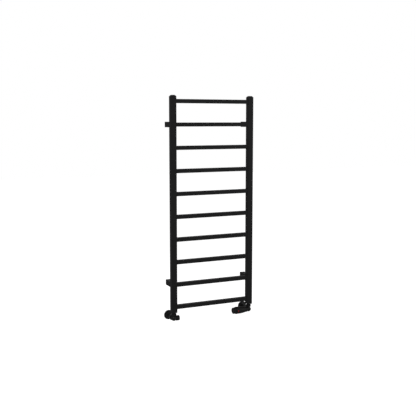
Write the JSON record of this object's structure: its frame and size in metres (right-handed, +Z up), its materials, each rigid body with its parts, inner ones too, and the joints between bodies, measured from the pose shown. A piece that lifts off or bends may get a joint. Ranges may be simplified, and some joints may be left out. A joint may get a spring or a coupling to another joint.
{
  "type": "towel warmer rack",
  "caption": "Wall-hung square-tube ladder towel radiator with telescopic brackets, a lockshield valve and a thermostatic valve.",
  "frame": {"origin": "middle of the four wall screw holes, on the wall plane", "axes": "+X right as seen from the room, +Y into the wall, +Z up along the columns"},
  "size_m": [0.522, 0.1285, 1.257],
  "materials": {
    "black_coat": "fine matt black powder coat",
    "black_metal": "satin black coat on brass or copper",
    "black_plastic": "fine textured black moulding",
    "red_plastic": "red setting marker",
    "zinc_steel": "zinc plated steel",
    "plain_brass": "machined brass",
    "black_rubber": "moulded rubber",
    "white_plastic": "white moulding"
  },
  "bodies": {
    "wall_side": {"wall_post_upper_left": "black_coat", "wall_post_upper_right": "black_coat", "wall_post_lower_left": "black_coat", "wall_post_lower_right": "black_coat", "cover_plate_left": "black_metal", "cover_plate_right": "black_metal"},
    "radiator": {"bar_01": "black_coat", "bar_02": "black_coat", "bar_03": "black_coat", "bar_04": "black_coat", "bar_05": "black_coat", "bar_06": "black_coat", "bar_07": "black_coat", "bar_08": "black_coat", "bar_09": "black_coat", "bar_10": "black_coat", "bottom_socket_left": "black_coat", "bottom_socket_right": "black_coat", "bracket_bolts": "zinc_steel", "bracket_sleeve_lower_left": "black_coat", "bracket_sleeve_lower_right": "black_coat", "bracket_sleeve_upper_left": "black_coat", "bracket_sleeve_upper_right": "black_coat", "compression_nut_left": "black_metal", "compression_nut_right": "black_metal", "grub_screws": "zinc_steel", "head_base": "black_plastic", "head_coupling_ring": "black_metal", "head_marker": "red_plastic", "left_column": "black_coat", "lockshield_body": "black_metal", "lockshield_gland": "plain_brass", "lockshield_seal": "black_rubber", "olives": "plain_brass", "right_column": "black_coat", "rivet_nuts": "zinc_steel", "supply_pipe_left": "black_metal", "supply_pipe_right": "black_metal", "tailpiece_left": "black_metal", "tailpiece_right": "black_metal", "thermostatic_body": "black_metal", "thermostatic_insert": "plain_brass", "thermostatic_seal": "black_rubber", "thermostatic_spring": "zinc_steel", "top_cap_left": "black_coat", "top_cap_right": "black_coat", "union_gaskets": "black_rubber", "union_nut_left": "black_metal", "union_nut_right": "black_metal", "vent_plug": "plain_brass", "vent_seal": "black_rubber"},
    "vent_needle": {"vent_needle": "plain_brass"},
    "vent_collar": {"vent_collar": "white_plastic"},
    "lockshield_cap": {"lockshield_cap": "black_plastic"},
    "lockshield_spindle": {"lockshield_spindle": "plain_brass"},
    "lockshield_plug": {"lockshield_plug": "plain_brass"},
    "head_knob": {"head_knob": "black_plastic"},
    "head_sensor": {"head_sensor": "white_plastic"},
    "valve_pin": {"thermostatic_pin": "zinc_steel", "thermostatic_disc": "black_rubber"}
  },
  "joints": [
    {"name": "wall_adjustment", "type": "slide", "parent": "wall_side", "child": "radiator", "axis": [0, 1, 0], "range_m": [-0.012, 0.003]},
    {"name": "vent_needle_turn", "type": "hinge", "parent": "radiator", "child": "vent_needle", "pos_m": [-0.234, -0.055, 0.5675], "axis": [0, 1, 0], "range_deg": [0, 540]},
    {"name": "vent_collar_turn", "type": "hinge", "parent": "radiator", "child": "vent_collar", "pos_m": [-0.234, -0.057, 0.5675], "axis": [0, 1, 0], "continuous": true},
    {"name": "lockshield_cap_pull", "type": "slide", "parent": "radiator", "child": "lockshield_cap", "axis": [1, 0, 0], "range_m": [0, 0.03]},
    {"name": "lockshield_spindle_turn", "type": "hinge", "parent": "radiator", "child": "lockshield_spindle", "pos_m": [-0.234, -0.082, -0.6305], "axis": [-1, 0, 0], "range_deg": [0, 1260]},
    {"name": "lockshield_plug_travel", "type": "slide", "parent": "radiator", "child": "lockshield_plug", "axis": [-1, 0, 0], "range_m": [0, 0.0035]},
    {"name": "head_knob_turn", "type": "hinge", "parent": "radiator", "child": "head_knob", "pos_m": [0.234, -0.082, -0.6305], "axis": [1, 0, 0], "range_deg": [0, 270]},
    {"name": "head_sensor_travel", "type": "slide", "parent": "radiator", "child": "head_sensor", "axis": [1, 0, 0], "range_m": [0, 0.003]},
    {"name": "valve_pin_travel", "type": "slide", "parent": "radiator", "child": "valve_pin", "axis": [1, 0, 0], "range_m": [0, 0.003], "deforming": ["thermostatic_spring"]}
  ],
  "couplings": [
    {"joint": "lockshield_spindle_turn", "follows": "lockshield_plug_travel", "rad_per_m": 6283},
    {"joint": "head_sensor_travel", "follows": "head_knob_turn", "m_per_rad": 0.000636},
    {"joint": "valve_pin_travel", "follows": "head_knob_turn", "m_per_rad": 0.000636}
  ]
}
